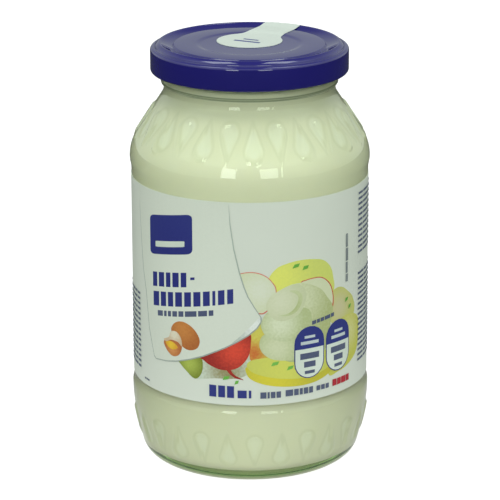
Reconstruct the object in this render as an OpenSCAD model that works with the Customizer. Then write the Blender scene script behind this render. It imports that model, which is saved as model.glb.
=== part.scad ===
// Half-litre glass jar of mayonnaise with a twist-off lid, a wrap-round label and a paper seal.
// The jar stands on z = 0 with its axis on Z. The middle of the label's front faces -Y.

/* [Jar body] */
// Radius of the straight panel that the label is wrapped on
panel_r = 39.88; // [32:0.01:48]
// Height of the straight panel
panel_h = 73.2; // [60:0.1:100]
// Height of the lower bulge's widest ring above the table
low_bulge_z = 25.5; // [22:0.1:32]
// How far the bulges above and below the panel stand proud of it
bulge = 0.5; // [0.3:0.1:1.5]
// Height over which the lower bulge runs into the panel
low_bulge_run = 2.6; // [1.5:0.1:4]
// Height over which the panel runs out to the upper bulge
high_bulge_run = 3.6; // [1.5:0.1:5]
// Radius of the long arc from the lower bulge to the foot
side_arc = 60; // [50:1:80]
// Lean of the foot, in degrees from upright
foot_lean = 12.5; // [10:0.5:16]
// Radius of the rounded heel
heel_r = 6.4; // [4:0.1:7]
// Width of the flat ring that the jar stands on
stand_w = 2.2; // [1.5:0.1:4]
// Height of the hollow under the base
push_up = 1.6; // [0.8:0.1:2]

/* [Shoulder and neck] */
// Radius of the arc that turns the upper bulge into the shoulder
shoulder_arc = 14.6; // [10:0.1:20]
// Lean of the shoulder, in degrees from upright
shoulder_lean = 33; // [28:1:38]
// Radius of the groove at the foot of the neck
neck_r = 28.7; // [23:0.1:35]
// Radius of the hollow between the shoulder and the neck
neck_arc = 4.3; // [3:0.1:6]
// How far the neck's bead stands proud of the groove
bead_out = 0.9; // [0.6:0.1:1.5]
// Height over which the groove runs out to the bead
bead_run = 1.4; // [0.8:0.1:2]
// Height of the groove's straight stretch
groove_h = 0.6; // [0.3:0.1:1.5]
// Height of the neck from the bead's foot to the rim
finish_h = 13.1; // [10.5:0.1:16]

/* [Glass] */
// Wall of the body
wall = 2.7; // [2.2:0.1:3.5]
// Wall of the neck
neck_wall = 2.3; // [1.8:0.1:3]
// Height of the inside floor above the table
floor_z = 4.2; // [3.2:0.1:5]
// Radius of the inside corner between floor and wall
corner_r = 5; // [4:0.1:8]
// Rounding of the rim's two edges
rim_round = 0.7; // [0.4:0.1:0.9]

/* [Drops in relief] */
// Number of raised drops in each ring, an even number
drops = 26; // [20:2:28]
// Turn of the first drop and of the mould seam from the front, in degrees
drop_turn = 16; // [0:1:27]
// How far the drops stand proud of the glass
drop_out = 0.5; // [0.3:0.1:0.8]
// Height of a drop in the shoulder's ring
high_drop_h = 12.1; // [9:0.1:14]
// Width of a drop in the shoulder's ring
high_drop_w = 6.7; // [4:0.1:6.9]
// How far the shoulder's ring starts below the top of the shoulder's arc
high_drop_down = 2.1; // [0:0.1:4]
// Height of a drop in the foot's ring
low_drop_h = 11.8; // [8:0.1:13]
// Width of a drop in the foot's ring
low_drop_w = 5.8; // [4:0.1:7]
// How far the foot's ring starts above the heel's arc
low_drop_up = 0.2; // [0:0.1:3]

/* [Contents] */
// Free height between the contents and the rim
head_space = 3.2; // [1:0.1:3.4]

/* [Lid] */
// How far the skirt stands out from the bead
lid_gap = 3.5; // [2.8:0.1:5]
// Thickness of the coated sheet steel
sheet_t = 0.4; // [0.3:0.05:0.6]
// How far the lid's lower edge hangs below the rim
lid_hang = 8.4; // [7:0.1:10]
// Radius of the rolled lower edge
curl_r = 1; // [0.7:0.1:1.2]
// Height of the raised ring above the rim
crest_h = 1.4; // [1.2:0.1:2]
// Radius of the raised ring's rounding
crest_round = 1.1; // [0.9:0.1:1.3]
// Height of the flat top above the rim
top_h = 0.7; // [0.5:0.1:1]
// Radius of the safety button in the middle
button_r = 18.3; // [14:0.1:20]
// Depth that the vacuum holds the button down
button_drop = 0.3; // [0.1:0.05:0.5]

/* [Paper] */
// Height of the label
label_h = 69.7; // [50:0.1:71]
// Height of the label's lower edge above the foot of its panel
label_up = 1.3; // [0.5:0.1:2]
// Thickness of the label
label_t = 0.12; // [0.1:0.01:0.3]
// Thickness of the seal
seal_t = 0.14; // [0.1:0.01:0.3]
// Radius of the seal's round end
seal_r = 11; // [8:0.1:13]
// How far the seal's round end is set from the lid's middle
seal_back = 4.5; // [0:0.1:5]
// Width of the seal's strap
strap_w = 12.8; // [8:0.1:16]
// Direction of the strap, in degrees from +X towards +Y
strap_turn = 63; // [40:1:140]
// Radius of the hollow flare where the strap leaves the round end
flare_r = 9; // [6:0.5:14]
// Length of the strap's end that is stuck to the shoulder
strap_foot = 6; // [3:0.1:9]

/* [Hidden] */
$fn = 96;

// A point at the angle a on the circle round c, the points of an arc, and one point of a path moved
// sideways by d, to the left of the path's direction.
function polar(c, r, a) = c + r * [cos(a), sin(a)];
function arc(c, r, a0, a1, n) = [for (i = [0 : n]) polar(c, r, a0 + (a1 - a0) * i / n)];
function left(a, b) = [a.y - b.y, b.x - a.x] / norm(b - a);
function corner(n1, n2) = (n1 + n2) / (1 + n1 * n2);
function moved(p, i, d) = p[i] + d * corner(
    i == 0 ? left(p[0], p[1]) : left(p[i - 1], p[i]),
    i == len(p) - 1 ? left(p[i - 1], p[i]) : left(p[i], p[i + 1]));
function beside(p, d) = [for (i = [0 : len(p) - 1]) moved(p, i, d)];
function reversed(p) = [for (i = [len(p) - 1 : -1 : 0]) p[i]];
// A soft step from p to q that starts and ends upright.
function eased(p, q, n) = [for (i = [0 : n])
    [p.x + (q.x - p.x) * (1 - cos(180 * i / n)) / 2, p.y + (q.y - p.y) * i / n]];
// How far up a lean rises while it runs sideways by run.
function rise(run) = run / tan(shoulder_lean);

// Body: the side arc, the panel and the two bulges.
bulge_r = panel_r + bulge;
side_c = [bulge_r - side_arc, low_bulge_z];
panel_z = low_bulge_z + low_bulge_run;
panel_top = panel_z + panel_h;
foot_top = polar(side_c, side_arc, -foot_lean);
heel_top_z = heel_r * (1 - sin(foot_lean));
heel_c = [foot_top.x - (foot_top.y - heel_top_z) * tan(foot_lean) - heel_r * cos(foot_lean), heel_r];
stand_r = heel_c.x - stand_w;

// Shoulder and neck.
shoulder_c = [bulge_r - shoulder_arc, panel_top + high_bulge_run];
shoulder_top = polar(shoulder_c, shoulder_arc, shoulder_lean);
groove_in = neck_arc * (1 - cos(shoulder_lean));
groove_z = shoulder_top.y + rise(shoulder_top.x - neck_r - groove_in) + neck_arc * sin(shoulder_lean);
groove_c = [neck_r + neck_arc, groove_z];
bead_r = neck_r + bead_out;
bead_z = groove_z + groove_h;
rim_z = bead_z + finish_h;

// Inside of the glass.
bore_r = neck_r - neck_wall;
inner_shoulder_arc = shoulder_arc - bulge - wall;
inner_shoulder = polar(shoulder_c, inner_shoulder_arc, shoulder_lean);
inner_side_arc = side_arc - bulge - wall;
inner_neck_arc = neck_arc + neck_wall;
inner_bend = inner_neck_arc * (1 - cos(shoulder_lean));
inner_neck_z = inner_shoulder.y + rise(inner_shoulder.x - bore_r - inner_bend)
    + inner_neck_arc * sin(shoulder_lean);
corner_z = floor_z + corner_r;
corner_reach = sqrt(pow(inner_side_arc - corner_r, 2) - pow(low_bulge_z - corner_z, 2));
corner_c = [side_c.x + corner_reach, corner_z];
corner_a = atan2(corner_z - low_bulge_z, corner_reach);

// The outside of the glass from the standing ring up to the rim, and the inside from the floor up.
foot_path = concat(
    arc(heel_c, heel_r, -90, -foot_lean, 6),
    arc(side_c, side_arc, -foot_lean, 0, 7));
shoulder_path = concat(
    arc(shoulder_c, shoulder_arc, 0, shoulder_lean, 6),
    arc(groove_c, neck_arc, 180 + shoulder_lean, 180, 4));
outer_path = concat(
    foot_path,
    eased([bulge_r, low_bulge_z], [panel_r, panel_z], 5),
    eased([panel_r, panel_top], [bulge_r, shoulder_c.y], 5),
    shoulder_path,
    eased([neck_r, bead_z], [bead_r, bead_z + bead_run], 5),
    arc([bead_r - rim_round, rim_z - rim_round], rim_round, 0, 90, 4));
cavity_path = concat(
    [[0, floor_z]],
    arc(corner_c, corner_r, -90, corner_a, 6),
    arc(side_c, inner_side_arc, corner_a, 0, 6),
    arc(shoulder_c, inner_shoulder_arc, 0, shoulder_lean, 6),
    arc([bore_r + inner_neck_arc, inner_neck_z], inner_neck_arc, 180 + shoulder_lean, 180, 4));
base_path = [for (i = [0 : 5]) let (t = i / 5) [stand_r * t, push_up * (1 - t * t)]];

// Drops: the rings' heights, and how deep a drop's root is sunk into the wall.
high_drop_z = shoulder_top.y - high_drop_down;
low_drop_z = heel_r + low_drop_up;
drop_root = 1;
drop_sides = 8;

// Lid: its outline from the middle of the top to the rolled lower edge. The groove round the flat
// top lies just inside the rim, and the raised ring just outside it.
groove_w = 0.5;
groove_sink = 0.5;
groove_clear = 0.6;
edge_round = 0.25;
crest_out = 0.8;
ledge_down = 0.1;
lid_r = bead_r + lid_gap;
top_z = rim_z + top_h;
top_edge_r = bore_r - groove_w - groove_clear;
crest_c = [bead_r + crest_out, rim_z + crest_h - crest_round];
ledge_c = [lid_r - crest_round, rim_z - ledge_down - crest_round];
curl_c = [lid_r - curl_r, rim_z - lid_hang + curl_r];
flat_path = [
    [0, top_z - button_drop],
    [button_r - 2 * button_drop, top_z - button_drop],
    [button_r, top_z]];
top_path = concat(
    flat_path,
    arc([top_edge_r - edge_round, top_z - edge_round], edge_round, 90, 20, 3),
    [[top_edge_r + groove_w / 2, top_z - groove_sink], [top_edge_r + groove_w, top_z - groove_sink]],
    arc(crest_c, crest_round, 150, 20, 8),
    arc(ledge_c, crest_round, 75, 0, 5));
// The flat ring of sealing compound under the raised ring, which sits on the rim.
seat_margin = 0.2;
seat_in = bore_r + seat_margin;
seat_out = crest_c.x + crest_round - sheet_t;
skirt_in = lid_r - sheet_t;

// Seal: the line that the strap follows over the lid and down to the drops on the shoulder.
strap_z = shoulder_top.y + rise(shoulder_top.x + drop_out / cos(shoulder_lean) - lid_r);
strap_line = concat(
    flat_path,
    [[top_edge_r, top_z]],
    arc(crest_c, crest_round, 100, 20, 6),
    arc(ledge_c, crest_round, 75, 0, 5),
    [[lid_r, strap_z]],
    [[lid_r, strap_z] + strap_foot * [sin(shoulder_lean), -cos(shoulder_lean)]]);
// Where the flare's circle, which runs on into the strap's edge, touches the round end.
flare_y = strap_w / 2 + flare_r;
flare_x = sqrt(pow(seal_r + flare_r, 2) - flare_y * flare_y);
flare_a = atan2(flare_y, flare_x);

module glass_outline() {
    polygon(concat(
        base_path,
        outer_path,
        arc([bore_r + rim_round, rim_z - rim_round], rim_round, 90, 180, 4),
        reversed(cavity_path)));
}

// A drop standing on its round end, h high and w wide.
module drop_outline(h, w) {
    r = w / 2;
    a = asin(r / (h - r));
    polygon(concat([[0, h]], arc([0, r], r, a, -180 - a, drop_sides)));
}

// A ring of drops cut from a skin over the path. The even drops stand on their round ends and the
// odd ones hang with the point down, or the other way round if odd_up is true.
module drop_ring(path, z, h, w, odd_up) {
    intersection() {
        rotate_extrude()
            polygon(concat(beside(path, -drop_out), reversed(beside(path, drop_root))));
        for (i = [0 : drops - 1]) {
            up = (i % 2 == 1) == odd_up;
            rotate([0, 0, drop_turn + 360 * i / drops])
                translate([0, -neck_r - drop_root, up ? z : z + h])
                    rotate([90, 0, 0])
                        mirror([0, up ? 0 : 1, 0])
                            linear_extrude(height = bulge_r)
                                drop_outline(h, w);
        }
    }
}

module glass_jar() {
    color([0.76, 0.84, 0.72, 0.45])
        union() {
            rotate_extrude() glass_outline();
            drop_ring(shoulder_path, high_drop_z, high_drop_h, high_drop_w, true);
            drop_ring(foot_path, low_drop_z, low_drop_h, low_drop_w, false);
        }
}

module mayonnaise() {
    level = rim_z - head_space;
    color([0.93, 0.93, 0.83])
        rotate_extrude() polygon(concat(cavity_path, [[bore_r, level], [0, level]]));
}

module lid() {
    color([0.13, 0.13, 0.40])
        rotate_extrude()
            polygon(concat(
                top_path,
                arc(curl_c, curl_r, 0, -180, 10),
                arc(curl_c, curl_r, -180, -250, 4),
                [[skirt_in, curl_c.y + curl_r], [skirt_in, ledge_c.y]],
                [[seat_out, rim_z], [seat_in, rim_z]],
                [[top_edge_r + groove_w, top_z - groove_sink - sheet_t]],
                [[top_edge_r, top_z - groove_sink - sheet_t]],
                [[top_edge_r - sheet_t, top_z - sheet_t]],
                reversed(beside(flat_path, -sheet_t))));
}

module label() {
    color([0.94, 0.95, 0.92])
        translate([0, 0, panel_z + label_up])
            difference() {
                cylinder(h = label_h, r = panel_r + label_t);
                translate([0, 0, -1]) cylinder(h = label_h + 2, r = panel_r);
            }
}

// The seal seen from above, with its strap along +X from the middle of the round end.
module seal_outline() {
    flare = [flare_x, flare_y];
    half = concat(
        arc([0, 0], seal_r, 180, flare_a, 16),
        arc(flare, flare_r, 180 + flare_a, 270, 6),
        [[bulge_r * 2, strap_w / 2]]);
    polygon(concat(half, reversed([for (p = half) [p.x, -p.y]])));
}

module seal_sticker() {
    color([0.92, 0.94, 0.90])
        intersection() {
            rotate_extrude()
                polygon(concat(beside(strap_line, seal_t), reversed(strap_line)));
            translate([0, seal_back, 0])
                rotate([0, 0, strap_turn])
                    linear_extrude(height = rim_z * 2) seal_outline();
        }
}

glass_jar();
mayonnaise();
lid();
label();
seal_sticker();
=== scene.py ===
"""A half-litre glass jar of mayonnaise with a navy screw lid, a paper label and a paper seal."""
import math

import bmesh
import bpy
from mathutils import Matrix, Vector


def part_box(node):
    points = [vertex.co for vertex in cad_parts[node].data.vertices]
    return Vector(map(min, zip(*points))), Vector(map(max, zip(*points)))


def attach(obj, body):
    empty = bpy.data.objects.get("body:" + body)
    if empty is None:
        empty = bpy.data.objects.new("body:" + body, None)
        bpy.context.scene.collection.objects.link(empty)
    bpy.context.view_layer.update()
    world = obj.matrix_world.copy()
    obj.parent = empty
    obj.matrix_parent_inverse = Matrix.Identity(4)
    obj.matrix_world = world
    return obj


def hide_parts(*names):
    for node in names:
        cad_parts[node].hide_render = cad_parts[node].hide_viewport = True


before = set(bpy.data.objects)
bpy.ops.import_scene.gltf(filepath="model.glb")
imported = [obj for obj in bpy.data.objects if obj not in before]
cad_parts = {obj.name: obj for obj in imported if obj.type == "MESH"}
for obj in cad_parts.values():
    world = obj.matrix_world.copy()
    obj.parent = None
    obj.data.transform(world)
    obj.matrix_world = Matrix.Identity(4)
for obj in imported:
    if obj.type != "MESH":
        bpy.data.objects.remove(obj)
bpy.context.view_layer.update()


# ---- Studio ---------------------------------------------------------------------------------
# A dim room that glows at both sides, low behind the jar and in a band high in front. Two soft boxes
# beside the camera make the pairs of highlights on lid and glass, and two more hang high at the sides.
MM = 0.001
CAMERA_DISTANCE = 0.9
CAMERA_HEIGHT_ANGLE = math.radians(17.1)
CAMERA_ROLL = math.radians(-0.14)
CAMERA_LENS = 190.4
AIM_HEIGHT = 70.9 * MM
FLOOR_RADIUS = 4.0
FLOOR_WHITE = 0.3
MOTTLE = 0.01
FLOOR_GLOW = 0.92
FLOOR_DIM = 0.08
FLOOR_NEAR_GLOW = 0.6
ROOM_DIM = 0.27
WALL_GLOW = 0.25
SIDE_GLOW = 0.56
UPPER_GLOW = 0.8
LIGHT_COLOUR = (0.93, 1.0, 0.95)
BAND_HEIGHT = 0.68
# Where each glow starts and is full, by how far a direction leans back, up, or to either side.
GLOW_BEHIND = (0.2, 0.8)
GLOW_LOW = (0.75, 0.45)
GLOW_BESIDE = (0.35, 0.8)
GLOW_IN_FRONT = (0.3, -0.1)
GLOW_OFF_BAND = (0.28, 0.12)
POOL_REACH = (0.14, 0.03)
BOX_DISTANCE = 0.95
SOFT_BOXES = [
    # turn and height angle in degrees, width, height, power
    (-19.7, 16, 0.22, 0.40, 1.6),
    (17.8, 16, 0.26, 0.40, 1.45),
    (-80, 70, 0.26, 0.36, 1.3),
    (80, 70, 0.26, 0.36, 1.3),
]


def new_material(name):
    """A material with its node tree emptied, and its tree."""
    material = bpy.data.materials.new(name)
    material.use_nodes = True
    material.node_tree.nodes.clear()
    return material, material.node_tree


def add_node(tree, kind, inputs=None, **settings):
    """A node of that kind, with its settings, and its inputs set or linked by name or number."""
    node = tree.nodes.new(kind)
    for key, value in settings.items():
        setattr(node, key, value)
    for key, value in (inputs or {}).items():
        if isinstance(value, bpy.types.NodeSocket):
            tree.links.new(value, node.inputs[key])
        else:
            node.inputs[key].default_value = value
    return node


def rising(tree, value, start, full, top=1.0):
    """A soft rise from 0, where the value is start, to top, where it is full."""
    return add_node(tree, "ShaderNodeMapRange", {
        "Value": value, "From Min": start, "From Max": full, "To Max": top},
        interpolation_type="SMOOTHSTEP").outputs[0]


def blended(tree, factor, first, second):
    """A colour that runs from the first to the second."""
    return add_node(tree, "ShaderNodeMix", {
        "Factor": factor, "A": first, "B": second}, data_type="RGBA").outputs["Result"]


def noise(tree, place, scale, detail=2.0):
    """Cloudy noise, with its scale in lumps a metre."""
    return add_node(tree, "ShaderNodeTexNoise", {
        "Vector": place, "Scale": scale, "Detail": detail}).outputs[0]


class Fields:
    """Short words for the maths of a node tree."""

    def __init__(self, tree):
        self.tree = tree

    def math(self, operation, *values):
        inputs = dict(enumerate(values))
        return add_node(self.tree, "ShaderNodeMath", inputs, operation=operation).outputs[0]


def surface(tree, shader, volume=None):
    """Ends a material's tree in its output."""
    links = {"Surface": shader.outputs[0]}
    if volume:
        links["Volume"] = volume.outputs[0]
    add_node(tree, "ShaderNodeOutputMaterial", links)


def new_object(name, mesh):
    """An object in the scene for that mesh, at the origin."""
    piece = bpy.data.objects.new(name, mesh)
    bpy.context.scene.collection.objects.link(piece)
    return piece


def seen_from(turn, raise_angle, distance):
    """A point round the jar: turn from the front towards +X, then the angle above the horizon."""
    across = distance * math.cos(raise_angle)
    return Vector((across * math.sin(turn), -across * math.cos(turn), distance * math.sin(raise_angle)))


scene = bpy.context.scene
scene.view_settings.view_transform = "Standard"
aim = Vector((0, 0, AIM_HEIGHT))

camera_data = bpy.data.cameras.new("camera")
camera_data.lens = CAMERA_LENS
camera = bpy.data.objects.new("camera", camera_data)
camera.location = aim + seen_from(0, CAMERA_HEIGHT_ANGLE, CAMERA_DISTANCE)
camera.rotation_euler = (aim - camera.location).to_track_quat("-Z", "Y").to_euler()
camera.rotation_euler.rotate_axis("Z", CAMERA_ROLL)
scene.collection.objects.link(camera)
scene.camera = camera

for turn, height_angle, width, height, power in SOFT_BOXES:
    soft_box = bpy.data.lights.new("soft_box", "AREA")
    soft_box.shape = "RECTANGLE"
    soft_box.size = width
    soft_box.size_y = height
    soft_box.energy = power
    soft_box.color = LIGHT_COLOUR
    lamp = bpy.data.objects.new("soft_box", soft_box)
    lamp.location = aim + seen_from(math.radians(turn), math.radians(height_angle), BOX_DISTANCE)
    lamp.rotation_euler = (aim - lamp.location).to_track_quat("-Z", "Y").to_euler()
    scene.collection.objects.link(lamp)

room = bpy.data.worlds.new("dim_room")
room.use_nodes = True
tree = room.node_tree
tree.nodes.clear()
way = add_node(tree, "ShaderNodeSeparateXYZ", {0: add_node(tree, "ShaderNodeTexCoord").outputs["Generated"]})
f = Fields(tree)
behind = rising(tree, way.outputs["Y"], *GLOW_BEHIND)
low = rising(tree, way.outputs["Z"], *GLOW_LOW)
glow = f.math("MULTIPLY_ADD", f.math("MULTIPLY", behind, low), WALL_GLOW, ROOM_DIM)
beside = rising(tree, f.math("ABSOLUTE", way.outputs["X"]), *GLOW_BESIDE, SIDE_GLOW)
glow = f.math("ADD", glow, beside)
off_band = f.math("ABSOLUTE", f.math("SUBTRACT", way.outputs["Z"], BAND_HEIGHT))
in_front = rising(tree, way.outputs["Y"], *GLOW_IN_FRONT)
band = rising(tree, off_band, *GLOW_OFF_BAND, UPPER_GLOW)
glow = f.math("ADD", glow, f.math("MULTIPLY", band, in_front))
lit = add_node(tree, "ShaderNodeBackground", {"Color": (*LIGHT_COLOUR, 1), "Strength": glow})
plain = add_node(tree, "ShaderNodeBackground", {"Color": (1, 1, 1, 1)})
direct = add_node(tree, "ShaderNodeLightPath").outputs["Is Camera Ray"]
both = add_node(tree, "ShaderNodeMixShader", {0: direct, 1: lit.outputs[0], 2: plain.outputs[0]})
add_node(tree, "ShaderNodeOutputWorld", {"Surface": both.outputs[0]})
scene.world = room

floor_mesh = bpy.data.meshes.new("floor")
floor_bm = bmesh.new()
bmesh.ops.create_circle(floor_bm, cap_ends=True, segments=64, radius=FLOOR_RADIUS)
floor_bm.to_mesh(floor_mesh)
floor_bm.free()
floor = new_object("floor", floor_mesh)
floor_paint, tree = new_material("floor_paint")
place = add_node(tree, "ShaderNodeTexCoord").outputs["Object"]
tone = add_node(tree, "ShaderNodeMapRange", {
    "Value": noise(tree, place, 3.0), "To Min": FLOOR_WHITE - MOTTLE, "To Max": FLOOR_WHITE + MOTTLE})
white = add_node(tree, "ShaderNodeBsdfDiffuse", {"Color": tone.outputs[0]})
bright = add_node(tree, "ShaderNodeEmission", {"Strength": FLOOR_GLOW})
sheet = add_node(tree, "ShaderNodeAddShader", {0: white.outputs[0], 1: bright.outputs[0]})
dim = add_node(tree, "ShaderNodeBsdfDiffuse", {"Color": (FLOOR_DIM, FLOOR_DIM, FLOOR_DIM, 1)})
away = add_node(tree, "ShaderNodeVectorMath", {0: place}, operation="LENGTH").outputs["Value"]
near = rising(tree, away, *POOL_REACH, FLOOR_NEAR_GLOW)
pool = add_node(tree, "ShaderNodeEmission", {"Strength": near})
under = add_node(tree, "ShaderNodeAddShader", {0: dim.outputs[0], 1: pool.outputs[0]})
direct = add_node(tree, "ShaderNodeLightPath").outputs["Is Camera Ray"]
surface(tree, add_node(tree, "ShaderNodeMixShader", {0: direct, 1: under.outputs[0], 2: sheet.outputs[0]}))
floor_mesh.materials.append(floor_paint)


# ---- Glass jar ------------------------------------------------------------------------------
# A pressed and blown jar of clear, faintly green glass: a panel for the label between two bulges, a
# leaning shoulder, a grooved neck with a bead, and a thick heel round a hollow base. Two rings of
# raised drops and the two mould seams are pressed into the same skin of glass.
def box_mm(node):
    """A CAD node's lowest and highest corners in millimetres."""
    low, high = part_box(node)
    return low / MM, high / MM


label_low, label_high = box_mm("label")
lid_low, lid_high = box_mm("lid")
fill_low, fill_high = box_mm("mayonnaise")
LABEL_T = 0.12
PANEL_R = label_high.x - LABEL_T
BULGE = 0.5
BULGE_R = PANEL_R + BULGE
LABEL_UP = 1.3
PANEL_H = 73.2
LOW_BULGE_RUN = 2.6
HIGH_BULGE_RUN = 3.6
LOW_BULGE_Z = label_low.z - LABEL_UP - LOW_BULGE_RUN
HIGH_BULGE_Z = LOW_BULGE_Z + LOW_BULGE_RUN + PANEL_H + HIGH_BULGE_RUN
SIDE_ARC = 60.0
FOOT_LEAN = 12.5
HEEL_R = 6.4
STAND_W = 2.2
PUSH_UP = 1.6
SHOULDER_ARC = 14.6
SHOULDER_LEAN = 33.0
NECK_R = 28.7
NECK_ARC = 4.3
GROOVE_H = 0.6
BEAD_OUT = 0.9
BEAD_RUN = 1.4
RIM_ROUND = 0.7
CREST_H = 1.4
RIM_Z = lid_high.z - CREST_H
WALL = 2.7
NECK_WALL = 2.3
FLOOR_Z = fill_low.z
CORNER_R = 5.0
DROPS = 26
DROP_TURN = math.radians(16)
DROP_OUT = 0.5
DROP_EDGE = 1.1
DROP_TIP = 0.3
HIGH_DROP_H = 12.1
HIGH_DROP_W = 6.7
HIGH_DROP_DOWN = 2.1
LOW_DROP_H = 11.8
LOW_DROP_W = 5.8
LOW_DROP_UP = 0.2
DROPS_DEPTH = 12.0
COLUMNS = DROPS * 18
GLASS_STEP = 0.72
PLAIN_STEP = 12.0
SEAM_OUT = 0.12
TINY = 1e-6


def arc(centre, radius, start, end, steps):
    """Points along a circle, its angles in degrees."""
    turns = [math.radians(start + (end - start) * i / steps) for i in range(steps + 1)]
    return [(centre[0] + radius * math.cos(a), centre[1] + radius * math.sin(a)) for a in turns]


def eased(start, end, steps):
    """A soft step between two points that leaves and arrives upright."""
    (r0, z0), (r1, z1) = start, end
    return [(r0 + (r1 - r0) * (1 - math.cos(math.pi * i / steps)) / 2, z0 + (z1 - z0) * i / steps)
            for i in range(steps + 1)]


def spaced(points, step):
    """The same outline with points added, so that no stretch is longer than step."""
    out = [points[0]]
    for (r0, z0), (r1, z1) in zip(points, points[1:]):
        length = math.hypot(r1 - r0, z1 - z0)
        if length < TINY:
            continue
        count = max(1, math.ceil(length / step))
        out += [(r0 + (r1 - r0) * i / count, z0 + (z1 - z0) * i / count) for i in range(1, count + 1)]
    return out


def turned(name, outline, columns, first_turn=0.0, ridge=None):
    """A closed mesh from an outline in mm that runs from the axis, outwards and back to it."""
    vertices, faces, rings = [], [], []
    for radius, height in outline:
        if radius < TINY:
            rings.append([len(vertices)] * columns)
            vertices.append((0, 0, height * MM))
            continue
        rings.append(list(range(len(vertices), len(vertices) + columns)))
        for j in range(columns):
            reach = radius + (ridge(j, radius, height) if ridge else 0)
            turn = first_turn + 2 * math.pi * j / columns
            vertices.append((reach * MM * math.sin(turn), -reach * MM * math.cos(turn), height * MM))
    for low, high in zip(rings, rings[1:]):
        for j in range(columns):
            k = (j + 1) % columns
            corners = [low[j], low[k], high[k], high[j]]
            faces.append(list(dict.fromkeys(corners)))
    mesh = bpy.data.meshes.new(name)
    mesh.from_pydata(vertices, [], [face for face in faces if len(face) > 2])
    mesh.shade_smooth()
    return new_object(name, mesh)


def lean_rise(run):
    """How far up the shoulder's lean rises while it runs inwards."""
    return run / math.tan(math.radians(SHOULDER_LEAN))


def on_circle(centre, radius, angle):
    """One point of a circle, its angle in degrees."""
    return arc(centre, radius, angle, angle, 1)[0]


side_centre = (BULGE_R - SIDE_ARC, LOW_BULGE_Z)
foot_top = on_circle(side_centre, SIDE_ARC, -FOOT_LEAN)
heel_top = HEEL_R * (1 - math.sin(math.radians(FOOT_LEAN)))
heel_centre = (foot_top[0] - (foot_top[1] - heel_top) * math.tan(math.radians(FOOT_LEAN))
               - HEEL_R * math.cos(math.radians(FOOT_LEAN)), HEEL_R)
stand_r = heel_centre[0] - STAND_W
shoulder_centre = (BULGE_R - SHOULDER_ARC, HIGH_BULGE_Z)
shoulder_top = on_circle(shoulder_centre, SHOULDER_ARC, SHOULDER_LEAN)
groove_in = NECK_ARC * (1 - math.cos(math.radians(SHOULDER_LEAN)))
groove_z = (shoulder_top[1] + lean_rise(shoulder_top[0] - NECK_R - groove_in)
            + NECK_ARC * math.sin(math.radians(SHOULDER_LEAN)))
bead_r = NECK_R + BEAD_OUT
bead_z = groove_z + GROOVE_H
outside = (
    [(stand_r * t / 5, PUSH_UP * (1 - (t / 5) ** 2)) for t in range(6)]
    + arc(heel_centre, HEEL_R, -90, -FOOT_LEAN, 10)
    + arc(side_centre, SIDE_ARC, -FOOT_LEAN, 0, 24)
    + eased((BULGE_R, LOW_BULGE_Z), (PANEL_R, LOW_BULGE_Z + LOW_BULGE_RUN), 6))
upper_outside = (
    eased((PANEL_R, HIGH_BULGE_Z - HIGH_BULGE_RUN), (BULGE_R, HIGH_BULGE_Z), 7)
    + arc(shoulder_centre, SHOULDER_ARC, 0, SHOULDER_LEAN, 14)
    + arc((NECK_R + NECK_ARC, groove_z), NECK_ARC, 180 + SHOULDER_LEAN, 180, 6)
    + eased((NECK_R, bead_z), (bead_r, bead_z + BEAD_RUN), 7)
    + arc((bead_r - RIM_ROUND, RIM_Z - RIM_ROUND), RIM_ROUND, 0, 90, 4))

bore_r = NECK_R - NECK_WALL
inner_shoulder_arc = SHOULDER_ARC - BULGE - WALL
inner_shoulder = on_circle(shoulder_centre, inner_shoulder_arc, SHOULDER_LEAN)
inner_neck_arc = NECK_ARC + NECK_WALL
inner_bend = inner_neck_arc * (1 - math.cos(math.radians(SHOULDER_LEAN)))
inner_neck_z = (inner_shoulder[1] + lean_rise(inner_shoulder[0] - bore_r - inner_bend)
                + inner_neck_arc * math.sin(math.radians(SHOULDER_LEAN)))
inner_side_arc = SIDE_ARC - BULGE - WALL
corner_z = FLOOR_Z + CORNER_R
corner_reach = math.sqrt((inner_side_arc - CORNER_R) ** 2 - (LOW_BULGE_Z - corner_z) ** 2)
corner_angle = math.degrees(math.atan2(corner_z - LOW_BULGE_Z, corner_reach))


def cavity(reach):
    """The inside of the glass from the middle of its floor up to the neck, moved outwards by reach."""
    return (
        [(0, FLOOR_Z - reach)]
        + arc((side_centre[0] + corner_reach, corner_z), CORNER_R + reach, -90, corner_angle, 10)
        + arc(side_centre, inner_side_arc + reach, corner_angle, 0, 10)
        + arc(shoulder_centre, inner_shoulder_arc + reach, 0, SHOULDER_LEAN, 10)
        + arc((bore_r + inner_neck_arc, inner_neck_z), inner_neck_arc - reach, 180 + SHOULDER_LEAN, 180, 6))


def mould_seam(column, radius, height):
    """The seams stand out as fine ridges on two opposite columns of the outside."""
    outer = radius > bore_r + RIM_ROUND and HEEL_R < height < RIM_Z - 2 * RIM_ROUND
    return SEAM_OUT if outer and column % (COLUMNS // 2) == 0 else 0


def new_geometry_tree(name, sockets):
    """A Geometry Nodes tree with those named inputs, its fields and its input node."""
    tree = bpy.data.node_groups.new(name, "GeometryNodeTree")
    tree.interface.new_socket("Geometry", in_out="OUTPUT", socket_type="NodeSocketGeometry")
    for socket_name, kind, value in sockets:
        entry = tree.interface.new_socket(socket_name, in_out="INPUT", socket_type=kind)
        if value is not None:
            entry.default_value = value
    return tree, Fields(tree), tree.nodes.new("NodeGroupInput").outputs


def finish_tree(tree, geometry, material):
    """Ends a tree in Realize Instances and Set Material."""
    real = add_node(tree, "GeometryNodeRealizeInstances", {0: geometry}).outputs[0]
    painted = add_node(tree, "GeometryNodeSetMaterial", {"Geometry": real, "Material": material})
    add_node(tree, "NodeGroupOutput", {0: painted.outputs[0]})


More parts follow.
